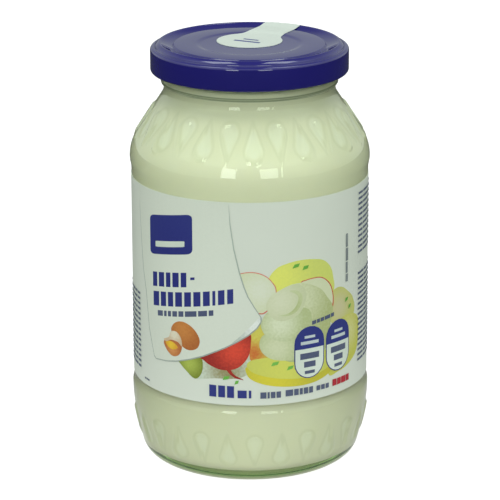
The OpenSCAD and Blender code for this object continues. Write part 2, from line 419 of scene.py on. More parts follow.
def apply_tree(piece, tree, rounds):
    """Runs a tree over a piece, once for each set of inputs by name, and leaves one plain mesh."""
    for values in rounds:
        modifier = piece.modifiers.new(tree.name, "NODES")
        modifier.node_group = tree
        ids = {item.name: item.identifier for item in tree.interface.items_tree}
        for name, value in values.items():
            modifier[ids[name]] = value
    bpy.context.view_layer.update()
    evaluated = piece.evaluated_get(bpy.context.evaluated_depsgraph_get())
    mesh = bpy.data.meshes.new_from_object(evaluated)
    piece.modifiers.clear()
    piece.data = mesh
    mesh.shade_smooth()


def drop_distance(f, place, ring):
    """How far a place in metres lies outside the nearest drop's outline, and its distance from the
    axis. Every second drop hangs with its point down."""
    turn = f.math("ARCTAN2", place["X"], f.math("MULTIPLY", place["Y"], -1.0))
    step = f.math("DIVIDE", 2 * math.pi, ring["Drops"])
    counted = f.math("DIVIDE", f.math("SUBTRACT", turn, ring["First turn"]), step)
    number_here = f.math("ROUND", counted)
    radius = f.math("SQRT", f.math("ADD", f.math("MULTIPLY", place["X"], place["X"]),
                                   f.math("MULTIPLY", place["Y"], place["Y"])))
    turn_off = f.math("MULTIPLY", f.math("SUBTRACT", counted, number_here), step)
    across = f.math("ABSOLUTE", f.math("MULTIPLY", turn_off, radius))
    odd = f.math("FLOORED_MODULO", f.math("ADD", number_here, ring["Odd upright"]), 2.0)
    up = f.math("SUBTRACT", place["Z"], ring["Foot height"])
    flipped = f.math("SUBTRACT", ring["Drop height"], up)
    hanging = f.math("GREATER_THAN", odd, 0.5)
    above = f.math("ADD", f.math("MULTIPLY", up, f.math("SUBTRACT", 1.0, hanging)),
                   f.math("MULTIPLY", flipped, hanging))
    # A body that tapers from the round end's circle to the tip's.
    rise = f.math("SUBTRACT", above, ring["Drop radius"])
    span = f.math("SUBTRACT", f.math("SUBTRACT", ring["Drop height"], ring["Drop radius"]),
                  ring["Tip radius"])
    taper = f.math("DIVIDE", f.math("SUBTRACT", ring["Drop radius"], ring["Tip radius"]), span)
    slope = f.math("SQRT", f.math("SUBTRACT", 1.0, f.math("MULTIPLY", taper, taper)))
    side = f.math("SUBTRACT", f.math("MULTIPLY", rise, slope), f.math("MULTIPLY", across, taper))
    to_foot = f.math("SUBTRACT", f.math("SQRT", f.math(
        "ADD", f.math("MULTIPLY", across, across), f.math("MULTIPLY", rise, rise))), ring["Drop radius"])
    over = f.math("SUBTRACT", rise, span)
    to_tip = f.math("SUBTRACT", f.math("SQRT", f.math(
        "ADD", f.math("MULTIPLY", across, across), f.math("MULTIPLY", over, over))), ring["Tip radius"])
    to_side = f.math("SUBTRACT", f.math("ADD", f.math("MULTIPLY", across, slope),
                                        f.math("MULTIPLY", rise, taper)), ring["Drop radius"])
    low = f.math("LESS_THAN", side, 0.0)
    high = f.math("GREATER_THAN", side, f.math("MULTIPLY", span, slope))
    middle = f.math("SUBTRACT", f.math("SUBTRACT", 1.0, low), high)
    away = f.math("ADD", f.math("MULTIPLY", to_foot, low),
                  f.math("ADD", f.math("MULTIPLY", to_tip, high), f.math("MULTIPLY", to_side, middle)))
    return away, radius


def drop_ring_tree(material):
    """Lifts the glass into a ring of drops."""
    number = "NodeSocketFloat"
    tree, f, given = new_geometry_tree("drop_ring", [
        ("Glass", "NodeSocketGeometry", None),
        ("Drops", "NodeSocketInt", DROPS),
        ("First turn", number, DROP_TURN),
        ("Foot height", number, None),
        ("Drop height", number, HIGH_DROP_H * MM),
        ("Drop radius", number, HIGH_DROP_W / 2 * MM),
        ("Tip radius", number, DROP_TIP * MM),
        ("Edge", number, DROP_EDGE * MM),
        ("Relief", number, DROP_OUT * MM),
        ("Odd upright", number, 1.0),
    ])
    position = add_node(tree, "GeometryNodeInputPosition").outputs[0]
    place = add_node(tree, "ShaderNodeSeparateXYZ", {0: position}).outputs
    away, radius = drop_distance(f, place, given)
    depth = rising(tree, away, 0.0, f.math("MULTIPLY", given["Edge"], -1.0))
    normal = add_node(tree, "GeometryNodeInputNormal").outputs[0]
    shift = add_node(tree, "ShaderNodeVectorMath", {
        0: normal, "Scale": f.math("MULTIPLY", depth, given["Relief"])}, operation="SCALE").outputs[0]
    outwards = add_node(tree, "ShaderNodeVectorMath", {0: normal, 1: position}, operation="DOT_PRODUCT")
    outside_only = f.math("MULTIPLY", f.math("GREATER_THAN", outwards.outputs["Value"], 0.0),
                          f.math("GREATER_THAN", radius, bore_r * MM))
    moved = add_node(tree, "GeometryNodeSetPosition", {
        "Geometry": given["Glass"], "Offset": shift, "Selection": outside_only})
    finish_tree(tree, moved.outputs[0], material)
    return tree


def glass_material():
    """Clear container glass: a faint green in its depth, and a surface that isn't quite even."""
    material, tree = new_material("jar_glass")
    place = add_node(tree, "ShaderNodeTexCoord").outputs["Object"]
    uneven = add_node(tree, "ShaderNodeBump", {
        "Height": noise(tree, place, 55.0, 1.0), "Strength": 0.16, "Distance": 0.0006})
    glass = add_node(tree, "ShaderNodeBsdfPrincipled", {
        "Base Color": (0.995, 1.0, 0.99, 1), "Roughness": 0.04, "IOR": 1.5,
        "Transmission Weight": 1.0, "Normal": uneven.outputs[0]})
    clear = add_node(tree, "ShaderNodeBsdfTransparent", {"Color": (0.97, 0.98, 0.965, 1)})
    shadow = add_node(tree, "ShaderNodeLightPath").outputs["Is Shadow Ray"]
    depth = add_node(tree, "ShaderNodeVolumeAbsorption", {"Color": (0.58, 0.80, 0.33, 1), "Density": 38.0})
    both = add_node(tree, "ShaderNodeMixShader", {0: shadow, 1: glass.outputs[0], 2: clear.outputs[0]})
    surface(tree, both, depth)
    return material


jar_glass = glass_material()
jar_skin = outside + upper_outside
jar_outline = (
    jar_skin
    + arc((bore_r + RIM_ROUND, RIM_Z - RIM_ROUND), RIM_ROUND, 90, 180, 4)
    + cavity(0.0)[::-1])
jar_points = [jar_outline[0]]
for i, (start, end) in enumerate(zip(jar_outline, jar_outline[1:])):
    beside_label = label_low.z < (start[1] + end[1]) / 2 < label_high.z
    has_drops = i < len(jar_skin) and start[0] > PANEL_R - DROPS_DEPTH and not beside_label
    jar_points += spaced([start, end], GLASS_STEP if has_drops else PLAIN_STEP)[1:]
glass = turned("glass_jar_body", jar_points, COLUMNS, DROP_TURN, mould_seam)
glass.data.materials.append(jar_glass)
HIGH_RING = {
    "Foot height": (shoulder_top[1] - HIGH_DROP_DOWN) * MM, "Drop height": HIGH_DROP_H * MM,
    "Drop radius": HIGH_DROP_W / 2 * MM, "Odd upright": 1.0}
LOW_RING = {
    "Foot height": (HEEL_R + LOW_DROP_UP) * MM, "Drop height": LOW_DROP_H * MM,
    "Drop radius": LOW_DROP_W / 2 * MM, "Odd upright": 0.0}
apply_tree(glass, drop_ring_tree(jar_glass), [HIGH_RING, LOW_RING])
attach(glass, "root")
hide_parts("glass_jar")


# ---- Mayonnaise -----------------------------------------------------------------------------
# One smooth, pale cream mass poured against the glass. It reaches just into the wall, so no air
# shows between them, and its top sinks a little towards the middle, as a filled jar's does.
FILL_REACH = 0.12
FILL_DIP = 0.8
FILL_EDGE = 1.0
FILL_STEP = 3.0
FILL_COLUMNS = 144
# Heights and widths below are in mm; a drop's painted glow and the painted shade along its edge on the cream
# are measured outwards from its outline.
DROP_GLOW = 0.32
DROP_GLOW_FROM = -0.6
DROP_GLOW_FULL = -1.8
DROP_SHADE = 0.13
DROP_SHADE_IN = 0.35
DROP_SHADE_W = 0.9
DROP_SHADE_FULL = 0.1
# Start and full height over the neck's groove, and strength: painted shade of the lid on shoulder and neck.
NECK_SHADES = ((-8.0, -3.5, 0.22), (3.1, 4.2, 0.72))
# A thin painted line of shade on the cream at the neck's bead: its strength, height over the groove, and
# width.
PAINTED_BEAD_SHADE = 0.7
PAINTED_BEAD_SHADE_UP = 1.85
PAINTED_BEAD_SHADE_W = 0.35
PAINTED_BEAD_SHADE_FULL = 0.05


def mayonnaise_material():
    """A soft, dense cream, with light and shade painted into its colour: a painted glow inside the drops in
    the glass, where they would gather light on it, painted shade along their edges, and painted shade from
    the lid and the neck's bead."""
    material, tree = new_material("mayonnaise")
    f = Fields(tree)
    place = add_node(tree, "ShaderNodeTexCoord").outputs["Object"]
    shade = blended(tree, noise(tree, place, 26.0, 3.0), (0.775, 0.75, 0.60, 1), (0.82, 0.79, 0.65, 1))
    parts = add_node(tree, "ShaderNodeSeparateXYZ", {0: place}).outputs
    # Painted light and shade: the cream is painted brighter inside each drop's outline and darker along its
    # edge.
    for ring in (HIGH_RING, LOW_RING):
        given = {"Drops": float(DROPS), "First turn": DROP_TURN, "Tip radius": DROP_TIP * MM, **ring}
        away = drop_distance(f, parts, given)[0]
        inside = rising(tree, away, DROP_GLOW_FROM * MM, DROP_GLOW_FULL * MM, DROP_GLOW)
        shade = blended(tree, inside, shade, (0.87, 0.87, 0.80, 1))
        off_edge = f.math("ABSOLUTE", f.math("ADD", away, DROP_SHADE_IN * MM))
        edge = rising(tree, off_edge, DROP_SHADE_W * MM, DROP_SHADE_FULL * MM, DROP_SHADE)
        shade = blended(tree, edge, shade, (0.45, 0.46, 0.30, 1))
    over_groove = f.math("SUBTRACT", parts["Z"], groove_z * MM)
    # Painted shade: the cream is painted darker on the shoulder and just under the lid, where the lid shades
    # it.
    for start, full, strength in NECK_SHADES:
        darker = rising(tree, over_groove, start * MM, full * MM, strength)
        shade = blended(tree, darker, shade, (0.20, 0.25, 0.14, 1))
    # Painted shade: a thin dark line on the cream at the bead.
    off_painted_bead_shade = f.math("ABSOLUTE", f.math("SUBTRACT", over_groove, PAINTED_BEAD_SHADE_UP * MM))
    line = rising(tree, off_painted_bead_shade, PAINTED_BEAD_SHADE_W * MM, PAINTED_BEAD_SHADE_FULL * MM, PAINTED_BEAD_SHADE)
    shade = blended(tree, line, shade, (0.12, 0.16, 0.10, 1))
    skin = add_node(tree, "ShaderNodeBump", {
        "Height": noise(tree, place, 900.0), "Strength": 0.1, "Distance": 0.0001})
    cream = add_node(tree, "ShaderNodeBsdfPrincipled", {
        "Base Color": shade, "Roughness": 0.5, "IOR": 1.4, "Specular IOR Level": 0.1,
        "Subsurface Weight": 0.2, "Subsurface Radius": (1.0, 0.9, 0.6), "Subsurface Scale": 0.001,
        "Normal": skin.outputs[0]})
    surface(tree, cream)
    return material


fill_r = bore_r + FILL_REACH
fill_top = [(fill_r, fill_high.z - FILL_EDGE), (fill_r, fill_high.z)]
fill_top += [(fill_r * t / 8, fill_high.z - FILL_DIP * (1 - (t / 8) ** 2)) for t in range(7, -1, -1)]
mayonnaise = turned("mayonnaise_fill", spaced(cavity(FILL_REACH) + fill_top, FILL_STEP), FILL_COLUMNS)
mayonnaise.data.materials.append(mayonnaise_material())
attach(mayonnaise, "root")
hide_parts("mayonnaise")


# ---- Lid ------------------------------------------------------------------------------------
# A pressed sheet steel screw lid, lacquered navy and very glossy: a rolled lower edge, a ledge
# at the top of the skirt, a raised ring over the rim, a groove, and a safety button held down.
SHEET_T = 0.4
CURL_R = 1.0
CREST_ROUND = 1.1
CREST_OUT = 0.8
CREST_TOP_R = 29.9
CREST_TIGHT = 0.6
CREST_FLAT = 4.0
CREST_END = 0.5
TIGHT_STEPS = 5
LEDGE_DOWN = 0.1
TOP_H = 0.7
GROOVE_W = 0.5
GROOVE_SINK = 0.5
GROOVE_CLEAR = 0.6
GROOVE_ROUND = 0.35
EDGE_ROUND = 0.3
BUTTON_R = 18.3
BUTTON_SLOPE = 2.4
BUTTON_SLOPE_BELOW = 2.2
BUTTON_DROP = 0.3
SEAT_MARGIN = 0.2
LID_COLUMNS = 256
lid_r = lid_high.x
top_z = RIM_Z + TOP_H
top_edge_r = bore_r - GROOVE_W - GROOVE_CLEAR
crest_centre = (bead_r + CREST_OUT, RIM_Z + CREST_H - CREST_ROUND)
ledge_centre = (lid_r - CREST_ROUND, RIM_Z - LEDGE_DOWN - CREST_ROUND)
curl_centre = (lid_r - CURL_R, lid_low.z + CURL_R)


def lid_material():
    """Navy lacquer baked on sheet steel, under a clear gloss with a trace of orange peel."""
    material, tree = new_material("lid_lacquer")
    place = add_node(tree, "ShaderNodeTexCoord").outputs["Object"]
    colour = blended(tree, noise(tree, place, 60.0), (0.011, 0.009, 0.145, 1), (0.014, 0.011, 0.165, 1))
    skin = add_node(tree, "ShaderNodeBump", {
        "Height": noise(tree, place, 420.0, 1.0), "Strength": 0.05, "Distance": 0.0001}).outputs[0]
    paint = add_node(tree, "ShaderNodeBsdfPrincipled", {
        "Base Color": colour, "Roughness": 0.4, "Specular IOR Level": 0.0, "Coat Weight": 1.0,
        "Coat IOR": 1.6, "Coat Roughness": 0.05, "Normal": skin, "Coat Normal": skin})
    surface(tree, paint)
    return material


def arc_on(path, radius, start, end, steps):
    """Carries a path on with an arc that leaves its last point at the normal's angle, start."""
    along = math.radians(start)
    centre = (path[-1][0] - radius * math.cos(along), path[-1][1] - radius * math.sin(along))
    return path + arc(centre, radius, start, end, steps)[1:]


# The raised ring falls away outwards in three arcs: tight, nearly flat, tight.
button_foot = BUTTON_R - BUTTON_SLOPE
button_step = eased((top_z - BUTTON_DROP, button_foot), (top_z, BUTTON_R), 6)
crest = arc_on([(CREST_TOP_R, lid_high.z)], CREST_TIGHT, 90, 60, TIGHT_STEPS)
crest = arc_on(crest, CREST_FLAT, 60, 40, 12)
crest = arc_on(crest, CREST_END, 40, 5, 6)
lid_top = (
    [(0, top_z - BUTTON_DROP)] + [(r, z) for z, r in button_step]
    + arc((top_edge_r - EDGE_ROUND, top_z - EDGE_ROUND), EDGE_ROUND, 90, 20, 5)
    + arc((top_edge_r + GROOVE_W, top_z - GROOVE_SINK + GROOVE_ROUND), GROOVE_ROUND, 200, 300, 6)
    + arc((CREST_TOP_R, lid_high.z - CREST_TIGHT), CREST_TIGHT, 150, 95, 5)
    + crest
    + arc(ledge_centre, CREST_ROUND, 112, 0, 14))
lid_under = [
    (0, top_z - BUTTON_DROP - SHEET_T),
    (BUTTON_R - BUTTON_SLOPE_BELOW, top_z - BUTTON_DROP - SHEET_T),
    (BUTTON_R, top_z - SHEET_T), (top_edge_r - SHEET_T, top_z - SHEET_T),
    (top_edge_r, top_z - GROOVE_SINK - SHEET_T), (top_edge_r + GROOVE_W, top_z - GROOVE_SINK - SHEET_T),
    (bore_r + SEAT_MARGIN, RIM_Z), (crest_centre[0] + CREST_ROUND - SHEET_T, RIM_Z),
    (lid_r - SHEET_T, ledge_centre[1]), (lid_r - SHEET_T, curl_centre[1] + CURL_R)]
lid_curl = arc(curl_centre, CURL_R, 110, 360, 24)
lid = turned("lid_sheet", lid_under + lid_curl + lid_top[::-1], LID_COLUMNS)
lid.data.set_sharp_from_angle(angle=math.radians(50))
lid.data.materials.append(lid_material())
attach(lid, "root")
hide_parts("lid")


# ---- Label ----------------------------------------------------------------------------------
# A strip of coated white paper, cut to length and glued round the panel. Its end laps over its
# start at the back, where the strip is two sheets thick.
LABEL_LAP = 7.0
LAP_RAMP = 2.0
LAP_LIFT = 1.05 * LABEL_T
PAPER_R = PANEL_R + LABEL_T
LABEL_STEPS = 320
LIGHT_BACK = 0.83
BRIGHTEST = 0.95


def tint(red, green, blue):
    """The linear colour, by the sRGB curve, of a surface that looks like that in the studio's light."""
    parts = []
    for part in (red, green, blue):
        share = part / 255
        plain = share / 12.92 if share < 0.04045 else ((share + 0.055) / 1.055) ** 2.4
        parts.append(min(BRIGHTEST, plain / LIGHT_BACK))
    return (*parts, 1)


def paper_material(name, colour, shade):
    """Coated paper: a soft sheen over fine fibres, with a faint cloudiness in its white."""
    material, tree = new_material(name)
    place = add_node(tree, "ShaderNodeTexCoord").outputs["Object"]
    tone = blended(tree, noise(tree, place, 60.0, 4.0), colour, shade)
    sheet = add_node(tree, "ShaderNodeBump", {
        "Height": noise(tree, place, 2200.0, 3.0), "Strength": 0.12, "Distance": 0.00005}).outputs[0]
    paper = add_node(tree, "ShaderNodeBsdfPrincipled", {
        "Base Color": tone, "Roughness": 0.5, "Specular IOR Level": 0.3, "Coat Weight": 0.25,
        "Coat Roughness": 0.35, "Normal": sheet})
    surface(tree, paper)
    return material


def on_label(u, v, reach):
    """The place u mm to the right round the label's front and v mm up it, at that radius in mm."""
    turn = u / PAPER_R
    return (reach * MM * math.sin(turn), -reach * MM * math.cos(turn), label_low.z * MM + v * MM)


label_height = label_high.z - label_low.z
around = 2 * math.pi * PAPER_R
loops = []
for i in range(LABEL_STEPS + 1):
    u = around / 2 + (around + LABEL_LAP) * i / LABEL_STEPS
    lapped = min(1, max(0, (u - around * 1.5 + LAP_RAMP) / LAP_RAMP))
    inner = PANEL_R + LAP_LIFT * lapped
    loops.append([on_label(u, 0, inner), on_label(u, 0, inner + LABEL_T),
                  on_label(u, label_height, inner + LABEL_T), on_label(u, label_height, inner)])
strip = bmesh.new()
rows = [[strip.verts.new(corner) for corner in loop] for loop in loops]
for before, after in zip(rows, rows[1:]):
    for k in range(4):
        strip.faces.new((before[k], after[k], after[(k + 1) % 4], before[(k + 1) % 4]))
strip.faces.new(rows[0])
strip.faces.new(rows[-1])
bmesh.ops.recalc_face_normals(strip, faces=strip.faces[:])
label_mesh = bpy.data.meshes.new("label_strip")
strip.to_mesh(label_mesh)
strip.free()
label_mesh.shade_smooth()
label_mesh.set_sharp_from_angle(angle=math.radians(40))
label_mesh.materials.append(paper_material("label_paper", (0.81, 0.85, 0.76, 1), (0.77, 0.81, 0.72, 1)))
label = new_object("label_strip", label_mesh)
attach(label, "root")
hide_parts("label")


# ---- Label print: food ----------------------------------------------------------------------
# Printed on the paper before it is cut: potato slices, white radish slices, a swirl of
# mayonnaise, a radish and a gherkin, in flat inks that run softly from light to shade.
INK_T = 0.012
INK_STEP = 0.018
CUT_STEP = 2.0
SPECKLE = 0.18


def rounded(points, steps=5):
    """A smooth closed outline through the points."""
    out, count = [], len(points)
    for i in range(count):
        p0, p1, p2, p3 = (points[(i + k - 1) % count] for k in range(4))
        for j in range(steps):
            t = j / steps
            out.append(tuple(
                0.5 * (2 * b + (c - a) * t + (2 * a - 5 * b + 4 * c - d) * t * t
                       + (3 * b - a - 3 * c + d) * t ** 3)
                for a, b, c, d in zip(p0, p1, p2, p3)))
    return out


def ink(name, colour, shade, centre=(0, 0), reach=8.0, grain=1.2):
    """Printing ink that runs from its colour, at the centre, to its shade at that reach in mm. Both
    are as they look in the studio's light, out of 255."""
    material, tree = new_material(name)
    uv = add_node(tree, "ShaderNodeUVMap", uv_map="print").outputs[0]
    gap = add_node(tree, "ShaderNodeVectorMath", {0: uv, 1: (*centre, 0)}, operation="DISTANCE")
    fade = rising(tree, gap.outputs["Value"], 0.0, reach)
    speckle = add_node(tree, "ShaderNodeMapRange", {
        "Value": noise(tree, uv, grain, 3.0), "From Min": 0.3, "From Max": 0.7,
        "To Min": -SPECKLE, "To Max": SPECKLE})
    mixed = add_node(tree, "ShaderNodeMath", {
        0: fade, 1: speckle.outputs[0]}, operation="ADD", use_clamp=True)
    tone = blended(tree, mixed.outputs[0], tint(*colour), tint(*shade))
    surface(tree, add_node(tree, "ShaderNodeBsdfPrincipled", {
        "Base Color": tone, "Roughness": 0.5, "Specular IOR Level": 0.3, "Coat Weight": 0.25,
        "Coat Roughness": 0.35}))
    return material


def flat_sheet(outlines, thickness, *cut_steps):
    """A thin closed sheet in mm cut to the outlines, with cuts across u, then v, so that it can bend."""
    sheet = bmesh.new()
    for outline in outlines:
        sheet.faces.new([sheet.verts.new((u, v, 0)) for u, v in outline])
    bmesh.ops.triangulate(sheet, faces=sheet.faces[:])
    for axis, step in enumerate(cut_steps):
        across = Vector((1 - axis, axis, 0))
        sides = [vertex.co[axis] for vertex in sheet.verts]
        for k in range(math.ceil(min(sides) / step), math.floor(max(sides) / step) + 1):
            bmesh.ops.bisect_plane(
                sheet, geom=sheet.verts[:] + sheet.edges[:] + sheet.faces[:],
                plane_co=across * (k * step), plane_no=across)
    raised = bmesh.ops.extrude_face_region(sheet, geom=sheet.faces[:])["geom"]
    for vertex in raised:
        if isinstance(vertex, bmesh.types.BMVert):
            vertex.co.z = thickness
    bmesh.ops.recalc_face_normals(sheet, faces=sheet.faces[:])
    uv = sheet.loops.layers.uv.new("print")
    for face in sheet.faces:
        for loop in face.loops:
            loop[uv].uv = loop.vert.co.xy
    return sheet


def printed(name, layer, material, outlines):
    """Ink on the label in closed outlines of (u, v), in mm, that layer up from the paper."""
    sheet = flat_sheet(outlines, INK_T, CUT_STEP)
    for vertex in sheet.verts:
        u, v, lift = vertex.co
        vertex.co = on_label(u, v, PAPER_R + layer * INK_STEP + lift)
    mesh = bpy.data.meshes.new(name)
    sheet.to_mesh(mesh)
    sheet.free()
    mesh.materials.append(material)
    piece = new_object(name, mesh)
    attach(piece, "root")
    return piece


def patch(name, layer, colour, shade, centre, reach, points, grain=1.2):
    """One smooth patch in an ink of its own."""
    printed(name, layer, ink("ink_" + name, colour, shade, centre, reach, grain), [rounded(points)])


patch("ground_shadow", 1, (146, 138, 98), (200, 210, 194), (-8, 12), 11, [
    (-20, 8), (-12, 9), (-4, 9.5), (0, 12), (0, 17), (-8, 18), (-16, 15), (-22, 12)])
patch("potato_top", 2, (222, 224, 110), (202, 209, 110), (9, 44), 16, [
    (6, 43), (8.5, 47), (12, 48.5), (16.5, 49.2), (21, 49), (25.5, 48), (28.5, 45.5), (30, 42),
    (30, 36), (20, 35), (8, 36)])
patch("potato_peach", 2, (198, 192, 152), (192, 194, 108), (33, 30), 9, [
    (28.5, 30), (29.5, 35.5), (32, 37), (35, 36.5), (38.5, 34), (41, 31.5), (42.3, 27.5), (40, 24.5),
    (30, 25)], grain=2.5)
patch("potato_right", 3, (208, 206, 140), (192, 192, 84), (38, 20), 10, [
    (28, 8), (33, 7.5), (38, 8.5), (43.5, 11.5), (45.5, 17), (45.3, 22.5), (42, 25.5), (35, 26),
    (28, 22)])
patch("potato_left", 2, (198, 110, 52), (206, 198, 90), (1.2, 18), 7, [
    (3, 28.5), (0.2, 25), (0, 21), (0, 16), (3.5, 14), (12, 14), (13, 28)])
patch("potato_rim", 4, (212, 200, 62), (190, 182, 60), (8, 9), 16, [
    (-1.2, 13.5), (-1.2, 11), (0.5, 9), (4.5, 7.3), (10, 6.2), (17.5, 5.7), (24.5, 6.5), (29.5, 9),
    (29, 14), (14, 14), (4, 12)])
patch("potato_bottom", 5, (208, 209, 98), (196, 198, 96), (12, 13), 16, [
    (-1.2, 14.2), (0.5, 11.8), (4.5, 10.2), (10, 9), (17.5, 8.3), (24.5, 9), (29.5, 11.5), (29, 16),
    (20, 17), (8, 16.8), (1, 16)])
slice_red = ink("ink_slice_red", (206, 128, 108), (190, 84, 66), (0, 43), 30)
slice_white = ink("ink_slice_white", (216, 220, 200), (206, 211, 176), (3, 40), 10)
printed("slice_rims", 4, slice_red, [
    rounded([(-6, 44), (-3.5, 45.7), (-0.3, 46.3), (2.5, 46), (5.2, 44.8), (7.2, 42.8), (8.6, 40.3),
             (8.4, 36), (5.5, 32.5), (3, 31.8), (-2, 34), (-5, 39)]),
    rounded([(17, 41.3), (19, 42.2), (21.5, 42.5), (24.7, 42.3), (27.3, 40.8), (29.3, 38.3),
             (30.4, 34), (29.8, 30.5), (26, 31), (18, 36)])])
printed("slices", 5, slice_white, [
    rounded([(-6, 43.7), (-3.5, 45.4), (-0.3, 46), (2.4, 45.7), (5.1, 44.5), (7, 42.6), (8.3, 40.1),
             (8.1, 36), (5.3, 32.9), (3, 32.2), (-2, 34.3), (-5, 39)]),
    rounded([(17, 41), (19, 41.9), (21.5, 42.2), (24.6, 42), (27.1, 40.5), (29, 38),
             (30, 34), (29.2, 31.2), (25, 31.6), (18, 36)])])
cream_shade = (178, 188, 138)
patch("dollop_body", 6, (210, 215, 180), (172, 180, 125), (15, 36), 17, [
    (10, 39), (14.5, 41.3), (19, 41), (24.5, 38.3), (27.5, 34.8), (30, 31), (29, 25.5), (27, 17),
    (20, 14.8), (12, 15), (9, 22), (8, 33)])
patch("dollop_foot", 7, (206, 211, 176), cream_shade, (9, 20), 10, [
    (4.3, 24.5), (3, 21.7), (3.5, 19.2), (5.2, 17.2), (8.2, 15.7), (14.4, 15), (19, 16), (20, 20),
    (17, 24.5), (9, 26)])
patch("dollop_middle", 8, (214, 220, 190), cream_shade, (10, 28), 10, [
    (3.6, 28.8), (3.9, 26.3), (5.4, 24.1), (8.4, 22.5), (12.8, 21.8), (18, 23), (21, 27), (20, 32),
    (13, 33.5), (6, 32.5)])
patch("dollop_top", 9, (212, 215, 186), (196, 202, 164), (10, 36), 10, [
    (5.2, 34.5), (6.3, 37.3), (8, 38.7), (11.5, 40.5), (14.7, 41.4), (17.2, 40.6), (19, 38.3),
    (18.8, 35), (17.3, 31.8), (14.8, 29.9), (11.2, 29), (8.6, 29.5), (6.5, 31.2)])
patch("dollop_swirl", 10, (176, 186, 132), (196, 204, 160), (14, 34), 6, [
    (13, 39.2), (16, 38.9), (17.6, 37), (17.4, 34.4), (15.6, 31.8), (12.6, 30.6), (9.5, 31),
    (12.5, 31.4), (15, 33.2), (16.2, 35.8), (15.6, 37.6)])
patch("gherkin", 3, (168, 182, 84), (118, 132, 48), (-21, 13), 6, [
    (-26, 14), (-24.5, 12), (-21.9, 9.8), (-19.3, 8), (-17.3, 9), (-16.1, 12.2), (-16.9, 16),
    (-22, 17)], grain=2.5)
radish_red = ink("ink_radish", (214, 72, 52), (150, 42, 36), (-5, 19), 10)
printed("radish", 3, radish_red, [
    rounded([(-17, 17), (-15.5, 14.7), (-13, 13.2), (-9.9, 12.2), (-6.5, 12.3), (-3.3, 13.7),
             (-0.6, 17.2), (0.2, 21.5), (-0.5, 25.5), (-8, 25)])])
printed("radish_tail", 4, radish_red, [[
    (-8.2, 12.6), (-6.6, 12.6), (-5.8, 11.2), (-4.6, 10.2), (-2.4, 9.2), (-2.2, 8.9), (-5, 9.5),
    (-6.6, 10.6)]])


# ---- Label print: card ----------------------------------------------------------------------
# A white card with a curling corner, drawn over the food: its grey edge, its face, the curl, an egg
# and half of its broken skin. A plain navy badge and rows of blocks stand where names and text would go.
ROW_LEAN = math.radians(10)


def block_row(start, widths, height, gap, lean=ROW_LEAN):
    """Upright blocks in a row that climbs to the right."""
    (u, v), out = start, []
    for width in widths:
        rise = math.tan(lean) * width
        out.append([(u, v), (u + width, v + rise), (u + width, v + rise + height), (u, v + height)])
        u += width + gap
        v += math.tan(lean) * (width + gap)
    return out


def grown(points, centre, by):
    """The outline moved away from its centre by that many mm."""
    out = []
    for u, v in points:
        length = math.hypot(u - centre[0], v - centre[1])
        out.append((u + (u - centre[0]) * by / length, v + (v - centre[1]) * by / length))
    return out


card_edge = (
    [(-46.2, 69.5), (-45.5, 61.5), (-44.5, 51), (-43.3, 41), (-41.5, 34), (-39.7, 21), (-38, 15.5),
     (-37, 12.2)]
    + [(-36, 11.5), (-31, 12), (-26.5, 12.9), (-21, 14.6), (-16, 16.5), (-8.5, 20.1), (-4.5, 22.3),
       (-0.8, 24.6), (2, 27), (3.4, 29.2), (3.3, 30.8)]
    + [(1.1, 34.3), (-0.9, 37.7), (-2.2, 41), (-3.7, 46), (-5.5, 54), (-6.6, 62), (-7, 69.5)])
card_middle = (-22, 40)
printed("card_shadow", 7, ink(
    "ink_card_shadow", (150, 158, 152), (172, 181, 172), (-10, 20), 40), [
    grown(card_edge[1:-1], card_middle, 0.45) + [(-7, 69.5), (-8, 69.5), (-45, 69.5), (-46, 69.5)]])
printed("card_face", 8, ink(
    "ink_card_face", (214, 219, 207), (208, 213, 201), (-15, 40), 45), [card_edge])
patch("card_curl", 9, (226, 232, 224), (178, 186, 178), (2, 27.5), 9, [
    (-6, 21.6), (-0.8, 24.8), (2, 27.2), (3.2, 29.2), (3, 30.6), (0.5, 28), (-3.5, 24)])
navy = ink("ink_navy", (38, 44, 118), (46, 54, 124), (-30, 45), 40)
badge = [(-38.5, 47.5), (-19.5, 51), (-19.5, 64.5), (-38.5, 61)]
CORNER_CUT = 0.12


def soft_corners(points, cut=CORNER_CUT):
    """The outline with each corner cut back and rounded off."""
    out, count = [], len(points)
    for i, corner in enumerate(points):
        before, after = points[i - 1], points[(i + 1) % count]
        start = tuple(c + (b - c) * cut for c, b in zip(corner, before))
        end = tuple(c + (a - c) * cut for c, a in zip(corner, after))
        for t in (0, 0.25, 0.5, 0.75, 1):
            out.append(tuple((1 - t) ** 2 * a + 2 * t * (1 - t) * b + t * t * c
                             for a, b, c in zip(start, corner, end)))
    return out


printed("badge", 9, navy, [soft_corners(badge)])
printed("badge_bar", 10, ink("ink_badge_bar", (206, 215, 203), (198, 208, 196), (-29, 53), 12), [
    soft_corners([(-35.5, 50.6), (-22.5, 53), (-22.5, 55), (-35.5, 52.6)], 0.1)])
printed("title_rows", 9, navy, (
    block_row((-37.2, 36.6), (2.3, 2.6, 2, 2.6, 2.2), 5, 0.9)
    + block_row((-20.4, 42), (1.6,), 0.9, 0.9)
    + block_row((-37, 29.9), (3, 2.5, 2.3, 2.8, 2.6, 2.6, 2.4, 1, 2.2, 2), 5, 0.9)))
grey_ink = ink("ink_grey", (72, 80, 112), (92, 100, 122), (0, 30), 60)
printed("small_rows", 9, grey_ink, block_row((-34.8, 26.8), (2.6, 1.2, 1.4, 2, 2, 4.4, 3.2, 1.6), 1.9, 0.6))
patch("egg", 9, (196, 128, 66), (168, 98, 50), (-23.5, 24.5), 8, [
    (-28.2, 22.6), (-27.6, 25.3), (-25.1, 26.9), (-22, 26.8), (-19, 25), (-17.1, 21.8), (-18, 18.8),
    (-21, 17.6), (-24, 18.6)])
